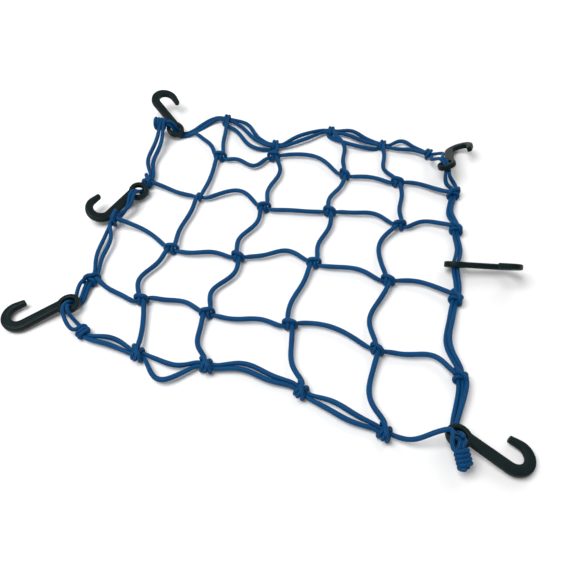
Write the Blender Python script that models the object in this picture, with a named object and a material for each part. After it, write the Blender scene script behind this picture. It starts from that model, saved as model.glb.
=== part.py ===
"""Knotted elastic luggage net with six plastic hooks, lying loosely on a level surface.

The net is tied from lengths of braided elastic cord: four cords run across it, two more each make a
pair of columns, and a doubled cord forms the edge. Most knots are hitches, in which one cord goes
round another twice and crosses over itself; the others are plain windings. X runs across the net, Y
away from the near edge and Z up; the surface is at Z = 0.
"""
import math

import bmesh
import bpy
from mathutils import Matrix, Vector

MM = 0.001                    # every size and place below is in millimetres

# Cord
CELL = 60.0                   # from knot to knot in the square net
MIDDLE = (3.37, -10.72)        # middle of the net's outline, which lies over the origin
CORD_RADIUS = 2.05            # a relaxed cord
STRETCHED_RADIUS = 1.7        # a cord that is pulled a little
RING_RADIUS = 1.45            # the two strands that share the mid right eye
GAP = 0.3                     # clearance between pieces
PRESSED = 0.1                 # depth to which an underside is pressed flat by the surface
CORD_SIDES = 6
STEP = 14.0                   # length of one straight piece of a free cord
PULL = 0.9                    # how far a short stretch keeps its direction after a knot or an eye
LONG_PULL = 0.4               # the same for a long one
MID_HEIGHT = 5.0              # of a free cord's middle above the surface

# Knots
TURN_STEPS = 8                # points in one turn of a winding
TURN_SPARE = 0.4              # space between two turns side by side
KNOT_GAP = 0.42               # space between a winding and the strands in it
KNOT_HALF = 5.6               # half the straight length of a strand inside a knot
TAIL = 5.0                    # free end beyond a knot
SHORT_TAIL = 2.5              # the same where it hardly shows
STUB = 0.3                    # the same at the left edge
CORNER_HALF = 3.2             # half the straight length of a strand inside the far right knot
TAIL_DROP = 1.0               # by which a free end droops
CLUSTER_HEIGHT = 14.6         # middle of the far left knot above the surface
STACK_HEIGHT = 8.0            # middle of the knot with one strand over the other
WHIP_HEIGHT = 12.2            # middle of the near right whipping
WHIP_DIP = 33.0               # degrees by which its strands run down
WHIP_HALF = 7.5               # half the straight length of a strand inside it
WHIP_TURNS = 4.0
CLUSTER_BACK = 8.6            # from the far left knot's middle back to the ends of its strands
CLUSTER_FRONT = 3.4           # and on to where they leave it
UNEVEN_ENDS = 1.0             # by which the strands' ends differ from each other

# Hook
HOOK_THICK = 5.0
EYE_WIDE = 13.4               # across the eye, middle to middle of its bar
EYE_LONG = 15.2
EYE_BAR = 3.9
SHANK_WIDE = 8.0
BEND_WIDE = 8.6
ARM_WIDE = 5.9                # where the arm leaves the bend
SHANK_START = 5.6             # from the eye's centre
SHANK_SIDE = 3.0              # from the eye's centre to the shank's middle, to the open side
BEND_CENTRE = 37.2
BEND_RADIUS = 10.2
ARM_LEAN = 7.0                # degrees by which the arm leans back to the shank
CHAMFER = 1.1
ARM_WIDTHS = ((6.0, 4.7), (7.2, 4.0), (8.0, 2.7))   # distance from the bend and width there
EYE_STEPS = 14
BEND_STEPS = 7
EYE_DIVE = 60.0               # slope of a strand inside an eye, degrees
EYE_SPACE = 0.6               # between two strands in an eye
EYE_STRAND = 3.1              # thickness of a strand beside an eye, with its clearance
EYE_SLOPE = 12.0              # slope of a strand beside an eye, degrees

LEVEL_ENOUGH = 0.5            # level share of a cord's direction from which a flat side faces down

# Each kind of knot: radius of the strands in it, how far the winding is spread sideways and up, in
# strands, extra radius of the winding in mm, and where the strands it holds lie, in strands.
KINDS = {
    "one": (1.3, 0.0, 0.0, 0.0, ((0.0, 0.0),)),
    "pair": (1.35, 0.5, 0.0, 0.0, ((0.5, 0.0), (-0.5, 0.0))),
    "stack": (1.35, 0.0, 0.5, 0.0, ((0.0, 0.5), (0.0, -0.5))),
    "trio": (1.35, 0.0, 0.0, 2.0, ((0.52, -0.32), (-0.52, -0.32), (0.0, 0.64))),
    "whip": (1.25, 0.5, 0.0, 0.0, ((0.5, 0.0), (-0.5, 0.0))),
}
PAIR = KINDS["pair"][4]
TRIO = KINDS["trio"][4]
FLAT = ((1.0, 0.0), (-1.0, 0.0), (0.0, 0.0))

CROSSING = 360.0              # degrees from the top at which a hitch crosses over itself
# The first half of a hitch, a row for each place of the cord: degrees from the top round the strands
# it holds, distance from their middle and place along them, both in strands. The last row is the
# crossing; the second half is the first one turned round.
HITCH = (
    (-22.5, 1.0, -0.5),
    (22.5, 1.0, -0.5),
    (67.5, 1.0, -0.6),
    (112.5, 1.0, -0.8),
    (157.5, 1.0, -1.0),
    (202.5, 1.0, -1.2),
    (247.5, 1.0, -1.4),
    (292.5, 1.0, -1.5),
    (328.0, 1.2, -1.5),
    (343.0, 1.9, -1.1),
    (CROSSING, 1.95, 0.0),
)

ROWS = (1, 2, 3, 4)
# Knots from the far row to the near row. Each is (slide across, slide away, lie): how far it has
# moved from its place in a square net, in mm, and the direction of the strand through it, in degrees.
KNOTS = (
    ((-3.6, -32, 4), (-5, 3, -5), (-6, -28, 3), (-14, 6, 5), (-20, -5, -12), (-33.5, -9.5, -22)),
    ((31, 33, -25), (5, 3, -20), (-3, 14, 30), (10, 2, -8), (1, 2, 15), (-6, -3, -95)),
    ((7.6, 13, -100), (2, 3, 0), (4, 2, -12), (4, 9, 12), (8, 5, -10), (-2, 11, -88)),
    ((-2, 16, -112), (-3, -5, -15), (-4, -2, 12), (1, 5, -16), (5, -1, 10), (1, -8, -100)),
    ((3, 8, -99), (-9, -3, 28), (-13, -5, -10), (-6, -2, 24), (4, -11, -5), (7, -22, -85)),
    ((17, 17, -34), (6, 7, -8), (0, 8, 0), (14, 2, -28), (17, -18, -22), (9.6, -29.8, -62)),
)
# Which way each inner knot's hitch steps, seen along its column towards the near edge.
HANDS = ((-1, 1, 1, 1), (-1, -1, 1, -1), (-1, 1, -1, 1), (1, -1, 1, 1))
RIGHT_HANDS = (-1, 1, 1, 1)   # the same at the right edge
SLIM_KNOT = (2, 1)            # row and column of the knot that is only one turn
# Bow and sway of each free stretch, in mm to the left of the way it is read: rows from left to
# right, columns from far to near.
ROW_BENDS = (
    ((3, -1), (-7, 5.4), (11, -1), (3, 0), (1.4, 0.6)),
    ((-0.8, 0.7), (14.4, -1.3), (0, 0.4), (5, -2), (7, 1)),
    ((6, 0), (2.6, -1.5), (6.2, -3), (6, -1), (4, 0.4)),
    ((-1, -1), (2, -1.6), (2.6, -2), (5, 0), (8.3, -3)),
)
COLUMN_BENDS = (
    ((-1.6, 0.8), (2, 0), (-2, 1.4), (-4.6, 3.2), (0.4, 0)),
    ((2, 1), (1, 4), (0.3, 3.7), (-4, 4.7), (-5, 1.5)),
    ((5.6, 3), (-1, 2), (-2, 2.5), (0.3, 1.5), (-7, 1.2)),
    ((-5, 2.7), (-1, 1.6), (-10.5, -1), (-9.4, 2), (-10, 1.7)),
)
# Bow and sway of each column cord where it hangs between two columns.
HANGING = {(1, 2): (-3.9, 4.6), (3, 4): (-4.2, 0)}
# Free stretches of the doubled edge: bow, sway and middle height of strand a, then of strand b.
EDGE_BENDS = {
    "L1 L2": ((-3.2, 2.2, 7.0), (-6.4, 2.2, 7.0)),
    "A1 A2": ((2.8, 2.6, 5.0), (-1.5, 1.2, 5.0)),
    "A2 A3": ((3.2, 0.5, 5.0), (-1.6, 0.4, 5.0)),
    "A3 A4": ((3.6, 2.2, 5.0), (-0.8, 1.0, 5.0)),
    "A4 R0": ((8.0, 3.2, 5.0), (4.0, -1.5, 5.0)),
    "L3 L4": ((2.8, 2.2, 5.8), (-2.8, 1.0, 4.8)),
    "R0 R1": ((2.6, 0.0, 6.5), (-2.1, 0.0, 6.5)),
    "R1 R2": ((-4.4, 0.7, 6.6), (-3.6, 0.7, 2.9)),
    "R3 R4": ((-6.6, 1.6, 7.0), (-5.8, 1.6, 2.9)),
    "L5 F1": ((4.6, 0.0, 5.0), (1.4, 0.0, 5.0)),
    "F1 F2": ((-5.4, 0.9, 5.0), (-16.0, -2.0, 5.0)),
    "F2 F3": ((4.0, 2.5, 5.0), (1.8, 2.3, 5.0)),
    "F3 F4": ((2.0, 1.2, 5.0), (-2.2, 0.8, 5.0)),
}
STRETCHED = ("L3 L4", "R1 R2", "R3 R4")
# Turns of strand a and of strand b round the far left knot: number, shift along it in mm, and the
# step of a turn at which they start.
CLUSTER_TURNS = ((0.5, 2.8, 4), (2.0, -2.6, 0))
RING_HEADING = -95            # of the strands through the mid right eye, in degrees
# How strands pass an eye: the hook, the plan directions in which they enter and leave, whether they
# rise through it, and half their bundle's thickness on the way in and out, in strands.
EYES = {
    "far left": ("hook_far_left", -5, 5, False, 1.12, 0.9),
    "mid left a": ("hook_mid_left", -150, -113, True, 0.95, 0.95),
    "mid left b": ("hook_mid_left", -125, -113, True, 0.95, 0.95),
    "near left": ("hook_near_left", -118, -74, True, 0.85, 1.06),
    "far right": ("hook_far_right", -55, -88, False, 0.95, 0.95),
    "near right": ("hook_near_right", -88, -86, True, 1.66, 1.6),
    "near right, last strand": ("hook_near_right", -5, -60, False, 0.8, 0.6),
}
# Hooks: place of the eye, heading of the shank, tilt of the bend's end, roll about the shank.
HOOKS = {
    "hook_far_left": ((-140.5, 120.5, 8.2), 142, 16, 184),
    "hook_mid_left": ((-145, 25, 7.6), -109, -2, 162),
    "hook_near_left": ((-153.5, -112, 7.2), 226, -4, 180),
    "hook_far_right": ((134, 111, 17.8), 89, -21.5, 154),
    "hook_mid_right": ((148.5, -6, 9.2), 12, -5, 129),
    "hook_near_right": ((156.5, -163.0, 10.0), -26, -6, -5),
}


def heading(degrees):
    """Level unit vector in a direction given in degrees."""
    angle = math.radians(degrees)
    return Vector((math.cos(angle), math.sin(angle), 0.0))


class Station:
    """A place on a cord's route and the way the cord runs there."""

    def __init__(self, place, way):
        self.place = Vector(place)
        self.way = Vector(way).normalized()
        self.left = Vector((-self.way.y, self.way.x, 0.0)).normalized()
        self.up = self.way.cross(self.left)

    def backward(self):
        return Station(self.place, -self.way)

    def beside(self, left=0.0, up=0.0, ahead=0.0):
        """The same way at a place moved to the left, up or ahead."""
        place = self.place + self.left * left + self.up * up + self.way * ahead
        return Station(place, self.way)


class Knot:
    """The middle of a knot, the strands through it and the winding that closes it."""

    def __init__(self, row, column, kind="one", height=None, dip=0.0):
        across, away, lie = KNOTS[row][column]
        self.tight, self.wide, self.tall, extra, self.slots = KINDS[kind]
        self.strand = 2 * self.tight + KNOT_GAP
        self.radius = (self.strand + extra) / math.cos(math.pi / TURN_STEPS)
        if height is None:
            underside = self.tight * math.cos(math.pi / CORD_SIDES) * math.cos(math.pi / TURN_STEPS)
            underside -= PRESSED
            height = self.strand * self.tall + self.strand + extra + underside
        place = ((column - 2.5) * CELL + across, (2.5 - row) * CELL + away, height)
        dip = math.radians(dip)
        self.middle = Station(place, heading(lie) * math.cos(dip) - Vector((0, 0, math.sin(dip))))

    def slot(self, index, ahead=0.0):
        """Where one of the strands through the knot lies."""
        left, up = self.slots[index]
        return self.middle.beside(left * self.strand, up * self.strand, ahead)

    def hitch(self, side, hand=1):
        """Places of a hitch round the knot's strands; on top it runs to the left if side is 1."""
        over = self.middle.left * side
        second = [(2 * CROSSING - turn, distance, -along)
                  for turn, distance, along in reversed(HITCH[:-1])]
        rows = list(HITCH) + second
        places = []
        for turn, distance, along in rows:
            angle = math.radians(turn)
            out, up = math.sin(angle), math.cos(angle)
            spread = math.copysign(self.wide * self.strand, out) if turn != CROSSING else 0.0
            lift = math.copysign(self.tall * self.strand, up)
            radius = self.radius * distance
            if distance > 1.0:
                radius += (self.strand - self.radius) * (distance - 1.0)
            place = self.middle.beside(ahead=hand * along * self.strand).place
            place += over * (spread + radius * out) + self.middle.up * (lift + radius * up)
            places.append(place)
        return places, Station(places[0], over), Station(places[-1], over), self.tight

    def winding(self, side, turns=2.0, hand=1, first=0, shift=0.0):
        """Places of the turns round the knot's strands; on top they run to the left if side is 1.

        first is the step of a turn at which the winding starts: 0 on top, 4 underneath.
        """
        over = self.middle.left * side
        pitch = 2 * self.tight + TURN_SPARE
        steps = round(turns * TURN_STEPS) + 1
        places = []
        for step in range(steps + 1):
            angle = 2 * math.pi * (first + step - 0.5) / TURN_STEPS
            out, up = math.sin(angle), math.cos(angle)
            spread = math.copysign(self.wide * self.strand, out)
            lift = math.copysign(self.tall * self.strand, up)
            along = hand * pitch * (step - steps / 2) / TURN_STEPS + shift
            place = self.middle.place + self.middle.way * along
            place += over * (spread + self.radius * out)
            place += self.middle.up * (lift + self.radius * up)
            places.append(place)
        ways = []
        for step in (first, first + steps - 1):
            angle = 2 * math.pi * step / TURN_STEPS
            ways.append(over * math.cos(angle) - self.middle.up * math.sin(angle))
        return places, Station(places[0], ways[0]), Station(places[-1], ways[1]), self.tight


class Cord:
    """A cord's centre line, gathered point by point, with its radius at each point."""

    def __init__(self, station, tight):
        self.places = []
        self.radii = []
        self.end = station
        self.tight = tight
        self.add(station.place, tight)

    def add(self, place, radius):
        self.places.append(place.copy())
        self.radii.append(radius)

    def run(self, station, bow=0.0, sway=0.0, height=None, slack=CORD_RADIUS, tight=None, quick=2.2,
            pull=PULL):
        """A free stretch to the next station, bowed or swayed to the left, with its middle's height."""
        start, chord = self.end, station.place - self.end.place
        length = chord.length
        first, last = self.tight, self.tight if tight is None else tight
        steps = max(2, round(length / STEP))
        left = Vector((-chord.y, chord.x, 0.0)).normalized()
        for step in range(1, steps + 1):
            t = step / steps
            swell = math.sin(math.pi * t) ** 2
            place = (start.place * (2 * t**3 - 3 * t**2 + 1) + station.place * (3 * t**2 - 2 * t**3)
                     + start.way * (length * pull * (t**3 - 2 * t**2 + t))
                     + station.way * (length * pull * (t**3 - t**2)))
            place += left * swell * (bow + sway * 1.5 * math.sin(2 * math.pi * t))
            if height is not None:
                place.z = start.place.z + (station.place.z - start.place.z) * t
                place.z += (height - (start.place.z + station.place.z) / 2) * swell
            taut = first + (last - first) * t
            fullness = min(1.0, quick * math.sin(math.pi * t)) if quick else swell
            self.add(place, taut + (slack - taut) * fullness if slack else taut)
        self.end = station
        self.tight = last

    def through(self, knot, index, **bends):
        """Run to a knot and straight through it."""
        self.run(knot.slot(index, -KNOT_HALF), tight=knot.tight, **bends)
        self.straight(knot.slot(index, KNOT_HALF))

    def straight(self, station):
        self.add(station.place, self.tight)
        self.end = station

    def wind(self, winding, **bends):
        """Run to a winding and follow its turns."""
        places, entry, leaving, tight = winding
        if (self.end.place - entry.place).length > 0.01:
            self.run(entry, tight=tight, **bends)
        for place in places[1:]:
            self.add(place, tight)
        self.end = leaving
        self.tight = tight

    def tail(self, length):
        """A short free end that droops."""
        for part in (0.5, 1.0):
            place = self.end.place + self.end.way * length * part
            place.z -= TAIL_DROP * part * part
            self.add(place, self.tight)


def cord_from_tail(winding, length):
    """A cord that starts with a short free end and goes straight into a winding."""
    entry, tight = winding[1], winding[3]
    back = entry.way * length
    cord = Cord(Station(entry.place - back - Vector((0, 0, TAIL_DROP)), entry.way), tight)
    cord.add(entry.place - back / 2 - Vector((0, 0, TAIL_DROP / 4)), tight)
    cord.straight(entry)
    cord.wind(winding)
    return cord


def hook_matrix(name):
    """A hook's place: origin at the eye's centre, X along the shank, Y to the open side."""
    place, turn, tilt, roll = HOOKS[name]
    rotation = (Matrix.Rotation(math.radians(turn), 4, "Z")
                @ Matrix.Rotation(math.radians(-tilt), 4, "Y")
                @ Matrix.Rotation(math.radians(roll), 4, "X"))
    return Matrix.Translation(place) @ rotation


def eye_stations(passage):
    """Where a bundle passes one side of a hook's eye, dives through it and passes the other side."""
    name, enter, leave, rising, layer_in, layer_out = EYES[passage]
    matrix = hook_matrix(name)
    centre = matrix.to_translation()
    normal = matrix.to_3x3() @ Vector((0, 0, 1))
    if normal.z < 0:
        normal = -normal
    sign = 1 if rising else -1
    rim = (EYE_WIDE + EYE_LONG) / 4
    inward, outward = heading(enter), heading(leave)
    inward = (inward - normal * inward.dot(normal)).normalized()
    outward = (outward - normal * outward.dot(normal)).normalized()
    slope, dive = math.radians(EYE_SLOPE), math.radians(EYE_DIVE)
    first, last = (HOOK_THICK / 2 + GAP + EYE_STRAND * layer for layer in (layer_in, layer_out))
    before = Station(centre - inward * rim - normal * sign * first,
                     inward * math.cos(slope) + normal * sign * math.sin(slope))
    middle = Station(centre, (inward + outward).normalized() * math.cos(dive)
                     + normal * sign * math.sin(dive))
    after = Station(centre + outward * rim + normal * sign * last,
                    outward * math.cos(slope) + normal * sign * math.sin(slope))
    return before, middle, after


def ring_frames(places):
    """Two directions square to a line of places at each of them, with little twist.

    Where the line is near level, a flat side of the tube faces down.
    """
    frames = []
    side = None
    for index, place in enumerate(places):
        before = places[max(index - 1, 0)]
        after = places[min(index + 1, len(places) - 1)]
        way = (place - before).normalized() + (after - place).normalized()
        way.normalize()
        level = Vector((-way.y, way.x, 0.0))
        if side is None:
            side = level
        side = (side - way * side.dot(way)).normalized()
        if level.length > LEVEL_ENOUGH:
            level.normalize()
            turns = [Matrix.Rotation(2 * math.pi * part / CORD_SIDES, 3, way) @ level
                     for part in range(CORD_SIDES)]
            side = max(turns, key=side.dot)
        frames.append((side, way.cross(side)))
    return frames


def tube_mesh(name, places, radii):
    """A closed tube along the places, flat where it lies on the surface."""
    work = bmesh.new()
    rings = []
    for place, radius, (side, up) in zip(places, radii, ring_frames(places)):
        ring = []
        for corner in range(CORD_SIDES):
            angle = 2 * math.pi * (corner + 0.5) / CORD_SIDES
            point = place + side * radius * math.sin(angle) + up * radius * math.cos(angle)
            point.z = max(point.z, 0.0)
            ring.append(work.verts.new(point * MM))
        rings.append(ring)
    for ring, following in zip(rings, rings[1:]):
        for corner in range(CORD_SIDES):
            other = (corner + 1) % CORD_SIDES
            work.faces.new((ring[corner], ring[other], following[other], following[corner]))
    work.faces.new(rings[0])
    work.faces.new(rings[-1])
    return finish_mesh(name, work)


def finish_mesh(name, work):
    """Triangles with their outsides facing out, smooth between the flat ends."""
    bmesh.ops.recalc_face_normals(work, faces=work.faces)
    bmesh.ops.triangulate(work, faces=work.faces)
    for face in work.faces:
        face.smooth = True
    mesh = bpy.data.meshes.new(name)
    work.to_mesh(mesh)
    work.free()
    return mesh


def add_object(name, mesh, material):
    item = bpy.data.objects.new(name, mesh)
    bpy.context.scene.collection.objects.link(item)
    mesh.materials.append(material)
    return item


def plain_material(name, colour, roughness):
    material = bpy.data.materials.new(name)
    material.use_nodes = True
    shader = material.node_tree.nodes["Principled BSDF"]
    shader.inputs["Base Color"].default_value = (*colour, 1.0)
    shader.inputs["Roughness"].default_value = roughness
    material.diffuse_color = (*colour, 1.0)
    return material


def cord_material(name):
    """Blue braided cord."""
    return plain_material(name, (0.010, 0.105, 0.330), 0.75)


def hook_material(name):
    """Dark moulded plastic."""
    return plain_material(name, (0.012, 0.022, 0.022), 0.4)


def border_knots():
    """Knots of the doubled edge by name: A far, F near, L left and R right."""
    knots = {}
    for number in ROWS:
        knots["A%d" % number] = Knot(0, number, "pair")
        knots["F%d" % number] = Knot(5, number, "pair")
        knots["R%d" % number] = Knot(number, 5, "pair")
    knots["L1"] = Knot(0, 0, "trio", height=CLUSTER_HEIGHT)
    knots["L2"] = Knot(2, 0, "pair")
    knots["L3"] = Knot(3, 0, "stack", height=STACK_HEIGHT)
    knots["L4"] = Knot(4, 0, "pair")
    knots["L5"] = Knot(5, 0, "pair")
    knots["R0"] = Knot(0, 5, "pair")
    knots["R5"] = Knot(5, 5, "whip", height=WHIP_HEIGHT, dip=WHIP_DIP)
    return knots


def tie(row, column, side, hand):
    """The column cord's way round the row cord at an inner knot."""
    knot = Knot(row, column, "one")
    if (row, column) == SLIM_KNOT:
        return knot.winding(side, turns=1.0, hand=hand)
    return knot.hitch(side, hand)


def long_bend(bow, sway):
    return dict(bow=bow, sway=sway, height=MID_HEIGHT, pull=LONG_PULL)


def column_bend(column, stretch, way=1):
    """Bend of a stretch of a column, with way -1 where the cord runs away from the near edge."""
    bow, sway = COLUMN_BENDS[column - 1][stretch]
    return long_bend(bow * way, sway)


def edge_bend(stretch, index):
    """Bend of strand a or b in a stretch of the doubled edge."""
    bow, sway, height = EDGE_BENDS[stretch][index]
    slack = STRETCHED_RADIUS if stretch in STRETCHED else CORD_RADIUS
    return dict(bow=bow, sway=sway, height=height, quick=0, slack=slack, pull=LONG_PULL)


def build_rows(knots):
    """The four cords across the net, each tied round the edge cord at its ends."""
    cords = {}
    for number in ROWS:
        bends = [long_bend(bow, sway) for bow, sway in ROW_BENDS[number - 1]]
        if number == 1:
            cord = far_left_strand(knots, 1)
            cord.run(Knot(1, 0).middle, slack=STRETCHED_RADIUS)
        elif number == 4:
            cord = start_of_last_row(knots)
        else:
            cord = cord_from_tail(knots["L%d" % number].hitch(1), STUB)
        for column in ROWS:
            cord.through(Knot(number, column, "one"), 0, **bends[column - 1])
        cord.wind(knots["R%d" % number].hitch(1, RIGHT_HANDS[number - 1]), **bends[4])
        if number == 4:
            finish_last_row(cord)
        else:
            cord.tail(SHORT_TAIL)
        cords["row_%d" % number] = cord
    return cords


def pass_eye(cord, passage, tables, index, **first):
    """Take a strand through an eye's stations, in its place in the bundle at each of them."""
    strand = 2 * cord.tight + EYE_SPACE
    for number, (station, table) in enumerate(zip(eye_stations(passage), tables)):
        left, up = table[index]
        bends = first if number == 0 and first else dict(slack=0)
        cord.run(station.beside(left * strand, up * strand), **bends)


def far_left_strand(knots, index):
    """A strand that ends in the far left cluster and comes out through the hook's eye."""
    cluster = knots["L1"]
    cord = Cord(cluster.slot(index, index * UNEVEN_ENDS - CLUSTER_BACK), cluster.tight)
    cord.straight(cluster.slot(index, CLUSTER_FRONT))
    pass_eye(cord, "far left", (TRIO, TRIO, FLAT), index)
    return cord


def start_of_last_row(knots):
    """The row's end lies in the eye of the near left hook."""
    tight = knots["L4"].tight
    strand = 2 * tight + EYE_SPACE
    before, middle = eye_stations("near left")[:2]
    left, up = TRIO[1]
    cord = Cord(middle.beside(left * strand, up * strand).backward(), tight)
    cord.run(before.beside(FLAT[1][0] * strand).backward(), slack=0)
    cord.wind(knots["L4"].hitch(1, -1), bow=1.0, height=7.5, slack=0, pull=LONG_PULL)
    return cord


def finish_last_row(cord):
    """The row's end goes along the edge, through the eye and up to the whipping."""
    cord.tight = KINDS["trio"][0]
    pass_eye(cord, "near right", (TRIO, TRIO), 2, slack=1.5, height=7.6, pull=LONG_PULL)
    left, up = (part * (2 * cord.tight + EYE_SPACE) for part in TRIO[2])
    cord.run(eye_stations("near right")[2].beside(left, up, -1.0), slack=0)


def build_columns(knots):
    """Two cords, each of which makes two columns and hangs between their far ends."""
    cords = {}
    for (first, second), (bow, sway) in HANGING.items():
        cord = cord_from_tail(knots["F%d" % first].hitch(1, -1), TAIL)
        for row in reversed(ROWS):
            cord.wind(tie(row, first, 1, -HANDS[row - 1][first - 1]), **column_bend(first, row, -1))
        cord.wind(knots["A%d" % first].winding(1, turns=1.5, hand=-1), **column_bend(first, 0, -1))
        cord.wind(knots["A%d" % second].winding(-1, turns=1.5, first=4), **long_bend(bow, sway))
        for row in ROWS:
            cord.wind(tie(row, second, -1, HANDS[row - 1][second - 1]), **column_bend(second, row - 1))
        cord.wind(knots["F%d" % second].hitch(-1), **column_bend(second, 4))
        cord.tail(TAIL)
        cords["columns_%d_%d" % (first, second)] = cord
    return cords


def build_edge(knots):
    """The doubled cord round the net, in two strands on each side."""
    cords = {}
    for index, letter in enumerate("ab"):
        cords["edge_far_" + letter] = far_edge(knots, index)
        cords["edge_left_" + letter] = left_edge(knots, index)
        cords["edge_right_" + letter] = right_edge(knots, index)
        cords["edge_near_" + letter] = near_edge(knots, index)
    return cords


def end_in_corner(cord, corner, index, turns=2.0, **bends):
    """Strand a ends inside the corner knot and strand b ties it."""
    if index == 0:
        cord.run(corner.slot(0, -KNOT_HALF), tight=corner.tight, **bends)
        cord.straight(corner.slot(0, -GAP))
    else:
        cord.wind(corner.winding(1, turns), **bends)
        cord.tail(SHORT_TAIL)


def start_in_corner(corner, index, half):
    """Strand a starts inside the corner knot and strand b goes through it."""
    cord = Cord(corner.slot(index, (GAP, -half)[index]), corner.tight)
    cord.straight(corner.slot(index, half))
    return cord


def far_edge(knots, index):
    cord = far_left_strand(knots, (0, 2)[index])
    cord.through(knots["A1"], index, bow=(1.5, -1.5)[index], quick=0)
    for before, after in (("A1", "A2"), ("A2", "A3"), ("A3", "A4")):
        cord.through(knots[after], index, **edge_bend(before + " " + after, index))
    end_in_corner(cord, knots["R0"], index, turns=1.0, **edge_bend("A4 R0", index))
    return cord


def left_edge(knots, index):
    turns, shift, first = CLUSTER_TURNS[index]
    winding = knots["L1"].winding(-1, turns=turns, shift=shift, first=first)
    cord = cord_from_tail(winding, SHORT_TAIL)
    cord.through(knots["L2"], index, **edge_bend("L1 L2", index))
    pass_eye(cord, ("mid left a", "mid left b")[index], (PAIR, PAIR, PAIR), index)
    cord.through(knots["L3"], index, bow=(3.8, 1.6)[index], slack=0)
    cord.through(knots["L4"], index, **edge_bend("L3 L4", index))
    pass_eye(cord, "near left", (FLAT, TRIO), (0, 2)[index])
    left = PAIR[index][0] * (2 * cord.tight + EYE_SPACE)
    cord.run(eye_stations("near left")[2].beside(left), slack=0)
    end_in_corner(cord, knots["L5"], index, slack=0)
    return cord


def right_edge(knots, index):
    cord = start_in_corner(knots["R0"], index, CORNER_HALF)
    bow, height = ((4.6, 13.0), (-5.2, 9.0))[index]
    pass_eye(cord, "far right", (PAIR, PAIR, PAIR), index, bow=bow, height=height, slack=0)
    cord.through(knots["R1"], index, **edge_bend("R0 R1", index))
    cord.through(knots["R2"], index, **edge_bend("R1 R2", index))
    ring = Station(hook_matrix("hook_mid_right").to_translation(), heading(RING_HEADING))
    left = PAIR[index][0] * (2 * RING_RADIUS + EYE_SPACE)
    cord.run(ring.beside(left), bow=2.0, quick=0, slack=RING_RADIUS)
    cord.through(knots["R3"], index, quick=0, slack=RING_RADIUS)
    cord.through(knots["R4"], index, **edge_bend("R3 R4", index))
    pass_eye(cord, "near right", (TRIO, TRIO, TRIO), index)
    whip = knots["R5"]
    cord.run(whip.slot(index, -WHIP_HALF), tight=whip.tight, slack=0)
    cord.straight(whip.slot(index, WHIP_HALF + UNEVEN_ENDS * index))
    return cord


def near_edge(knots, index):
    cord = start_in_corner(knots["L5"], index, KNOT_HALF)
    for before, after in (("L5", "F1"), ("F1", "F2"), ("F2", "F3"), ("F3", "F4")):
        cord.through(knots[after], index, **edge_bend(before + " " + after, index))
    if index == 0:
        rim = eye_stations("near right, last strand")[0]
        cord.run(rim, bow=-3.6, sway=-1.0, slack=STRETCHED_RADIUS, pull=LONG_PULL)
        cord.wind(knots["R5"].winding(1, turns=WHIP_TURNS, first=7), bow=-1.2, height=16.0, slack=0)
        cord.tail(SHORT_TAIL)
    return cord


def bar_mesh(name, places, widths, closed=False):
    """A flat-sided bar with chamfered edges along places in the XY plane."""
    work = bmesh.new()
    count = len(places)
    rings = []
    for index, (place, width) in enumerate(zip(places, widths)):
        before = places[(index - 1) % count if closed else max(index - 1, 0)]
        after = places[(index + 1) % count if closed else min(index + 1, count - 1)]
        way = ((place - before).normalized() + (after - place).normalized()).normalized()
        side = Vector((-way.y, way.x, 0.0))
        half, thick = width / 2, HOOK_THICK / 2
        outline = ((half, thick - CHAMFER), (half - CHAMFER, thick), (CHAMFER - half, thick),
                   (-half, thick - CHAMFER), (-half, CHAMFER - thick), (CHAMFER - half, -thick),
                   (half - CHAMFER, -thick), (half, CHAMFER - thick))
        rings.append([work.verts.new((place + side * u + Vector((0, 0, v))) * MM) for u, v in outline])
    pairs = list(zip(rings, rings[1:]))
    if closed:
        pairs.append((rings[-1], rings[0]))
    for ring, following in pairs:
        for corner in range(8):
            other = (corner + 1) % 8
            work.faces.new((ring[corner], ring[other], following[other], following[corner]))
    if not closed:
        work.faces.new(rings[0])
        work.faces.new(rings[-1])
    return finish_mesh(name, work)


def hook_mesh():
    """An eye, a shank and a J-shaped bend that ends in a rounded tip."""
    places, widths = [], []
    for part in range(EYE_STEPS):
        angle = 2 * math.pi * part / EYE_STEPS
        places.append(Vector((EYE_LONG / 2 * math.cos(angle), EYE_WIDE / 2 * math.sin(angle), 0)))
        widths.append(EYE_BAR)
    eye = bpy.data.objects.new("eye", bar_mesh("eye", places, widths, closed=True))
    bpy.context.scene.collection.objects.link(eye)

    places = [Vector((SHANK_START, SHANK_SIDE, 0)), Vector((BEND_CENTRE, SHANK_SIDE, 0))]
    widths = [SHANK_WIDE, BEND_WIDE]
    sweep = 180.0 + ARM_LEAN
    for part in range(1, BEND_STEPS + 1):
        angle = math.radians(-90 + sweep * part / BEND_STEPS)
        place = Vector((BEND_CENTRE + BEND_RADIUS * math.cos(angle),
                        SHANK_SIDE + BEND_RADIUS + BEND_RADIUS * math.sin(angle), 0))
        places.append(place)
        widths.append(BEND_WIDE + (ARM_WIDE - BEND_WIDE) * (part / BEND_STEPS) ** 2)
    back = heading(sweep)
    for length, width in ARM_WIDTHS:
        places.append(place + back * length)
        widths.append(width)
    mesh = bar_mesh("hook", places, widths)
    bar = bpy.data.objects.new("bar", mesh)
    bpy.context.scene.collection.objects.link(bar)
    union = bar.modifiers.new("union", "BOOLEAN")
    union.operation = "UNION"
    union.solver = "EXACT"
    union.object = eye
    joined = bpy.data.meshes.new_from_object(bar.evaluated_get(bpy.context.evaluated_depsgraph_get()))
    bpy.data.objects.remove(bar)
    bpy.data.objects.remove(eye)
    work = bmesh.new()
    work.from_mesh(joined)
    bmesh.ops.remove_doubles(work, verts=work.verts, dist=0.02 * MM)
    return finish_mesh("hook", work)


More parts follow.
